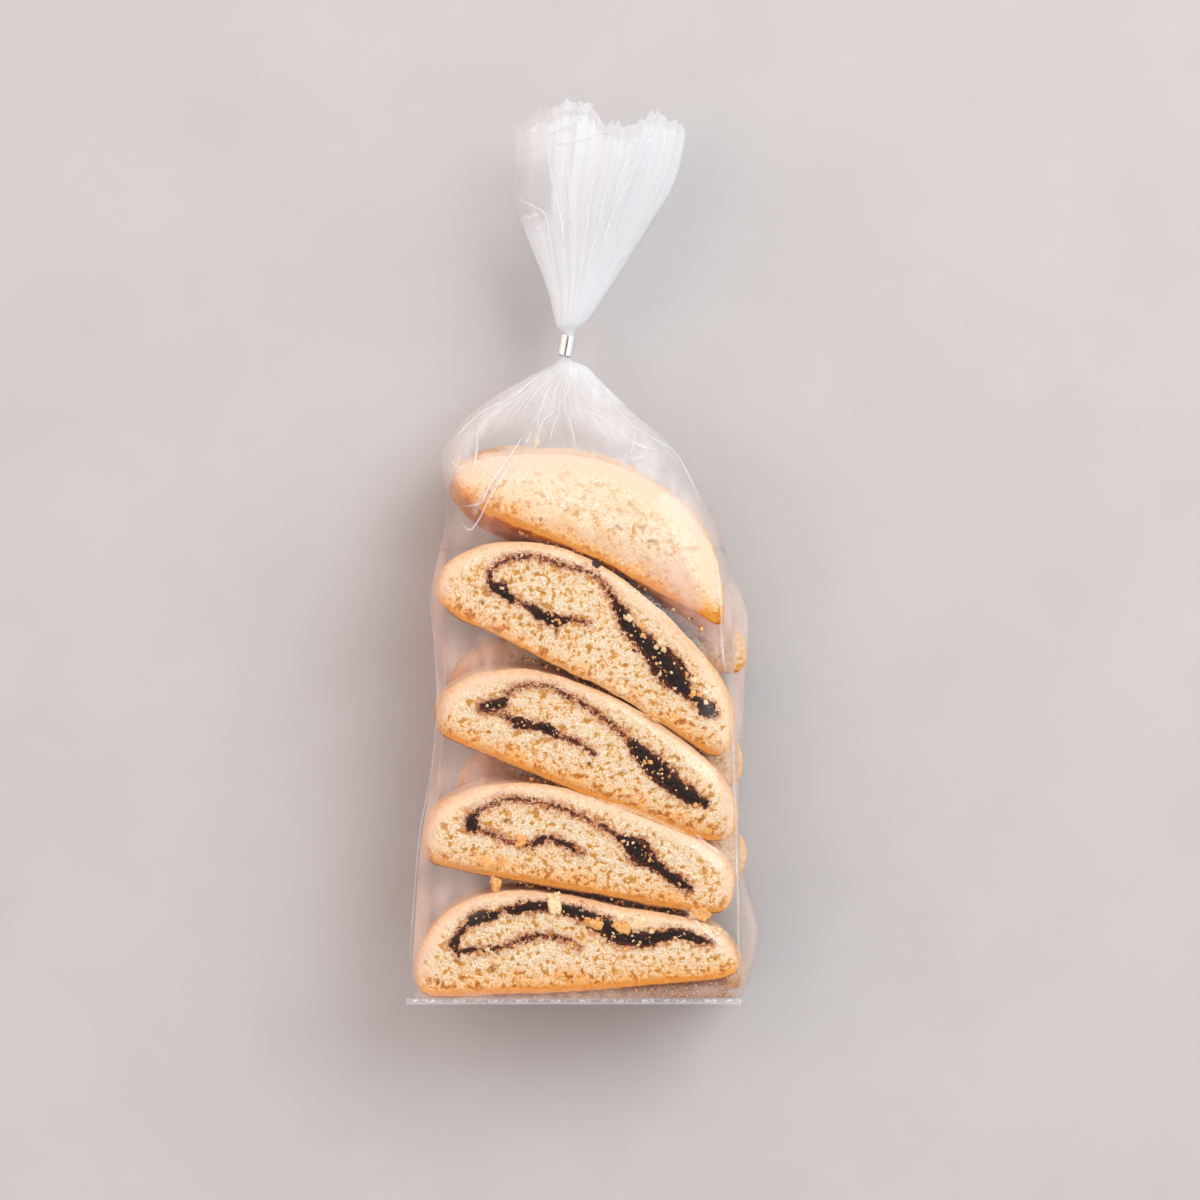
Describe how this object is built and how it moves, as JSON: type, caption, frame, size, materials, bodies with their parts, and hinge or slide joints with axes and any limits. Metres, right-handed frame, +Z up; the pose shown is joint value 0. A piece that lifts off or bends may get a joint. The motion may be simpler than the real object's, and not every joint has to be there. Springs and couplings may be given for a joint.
{
  "type": "bag of biscotti",
  "caption": "Clear gusseted bag of sliced biscotti with a dark filling swirl, lying flat, its neck gathered in a crimped metal clip.",
  "frame": {"origin": "middle of the pack's footprint, on the table", "axes": "+Y runs along the pack from its bottom seam to its mouth, +X across it to the right, +Z up from the table through the front film that shows the cut faces"},
  "size_m": [0.101, 0.2554, 0.045],
  "materials": {
    "film": "thin clear glossy cellophane-like film with fine creases and a faint white haze",
    "clip_metal": "bright smooth bare metal band, slightly creased from crimping",
    "biscuit": "dry baked dough: pale open crumb on the cut faces, golden brown crust round them",
    "filling": "dark fruit jam, nearly black where thick and purple brown where thin, slightly glossy",
    "crumb": "loose pale and orange brown crumbs and flakes"
  },
  "bodies": {
    "root": {"bag": "film", "clip": "clip_metal"}
  },
  "joints": []
}
